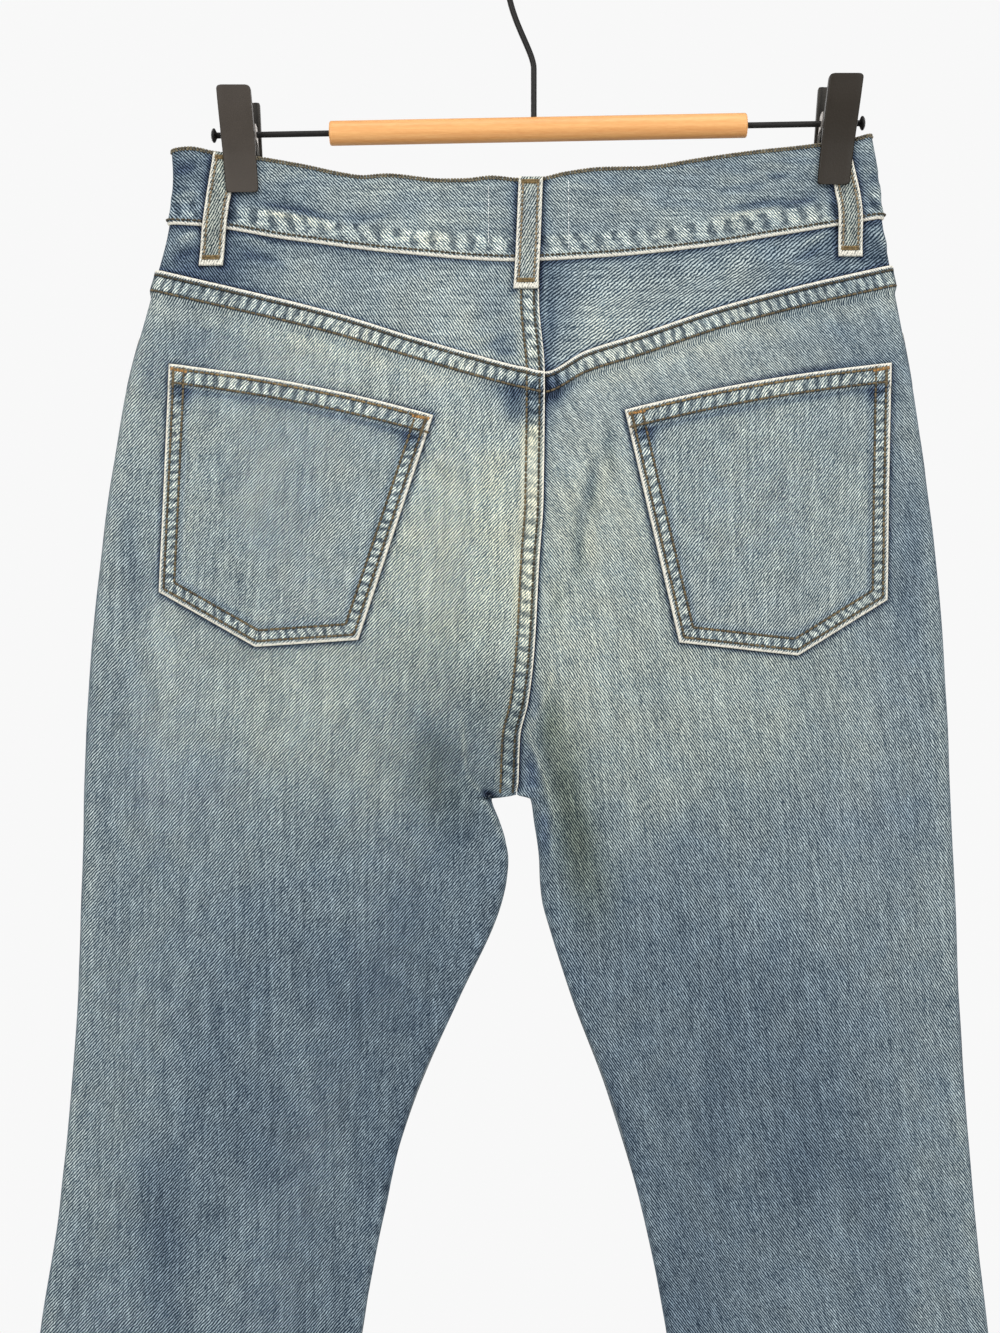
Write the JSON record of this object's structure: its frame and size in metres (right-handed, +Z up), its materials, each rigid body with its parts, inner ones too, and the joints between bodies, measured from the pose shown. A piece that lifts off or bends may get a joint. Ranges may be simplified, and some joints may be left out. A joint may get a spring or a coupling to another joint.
{
  "type": "bootcut jeans on a clip hanger",
  "caption": "Washed denim jeans with flared legs, yoke and patch pockets, hanging by the waistband from a wooden bar with sprung clips and a wire hook.",
  "frame": {"origin": "inside top of the hanger's hook, where the rail carries it", "axes": "+X to the wearer's right, +Y from the jeans' back to their front, +Z up; the jeans hang along -Z"},
  "size_m": [0.636, 0.0507, 1.2894],
  "materials": {
    "denim": "stone-washed twill, light at the seat and bluer down the legs",
    "zip_tape": "woven tape",
    "button_metal": "aged copper",
    "wood": "satin varnish",
    "dark_metal": "satin black",
    "clip_metal": "matt bronze brown"
  },
  "bodies": {
    "root": {"back_left_seat_side": "denim", "back_left_seat_inner": "denim", "back_left_thigh_side": "denim", "back_left_thigh_inner": "denim", "back_left_leg_side": "denim", "back_left_leg_inner": "denim", "back_right_seat_side": "denim", "back_right_seat_inner": "denim", "back_right_thigh_side": "denim", "back_right_thigh_inner": "denim", "back_right_leg_side": "denim", "back_right_leg_inner": "denim", "front_left_seat_side": "denim", "front_left_seat_inner": "denim", "front_left_thigh_side": "denim", "front_left_thigh_inner": "denim", "front_left_leg_side": "denim", "front_left_leg_inner": "denim", "front_right_seat_side": "denim", "front_right_seat_inner": "denim", "front_right_thigh_side": "denim", "front_right_thigh_inner": "denim", "front_right_leg_side": "denim", "front_right_leg_inner": "denim", "yoke_left": "denim", "yoke_right": "denim", "waistband": "denim", "back_pocket_left": "denim", "back_pocket_right": "denim", "pocket_facing_left": "denim", "pocket_facing_right": "denim", "fly_shield": "denim", "fly_zip": "zip_tape", "belt_loop_centre_back": "denim", "belt_loop_left_back": "denim", "belt_loop_right_back": "denim", "belt_loop_left_front": "denim", "belt_loop_right_front": "denim", "waist_button": "button_metal", "hanger_bar": "wood", "hanger_rod": "dark_metal", "hanger_hook": "dark_metal", "clip_left_back_jaw": "clip_metal", "clip_left_front_jaw": "clip_metal", "clip_left_spring": "dark_metal", "clip_right_back_jaw": "clip_metal", "clip_right_front_jaw": "clip_metal", "clip_right_spring": "dark_metal"}
  },
  "joints": []
}
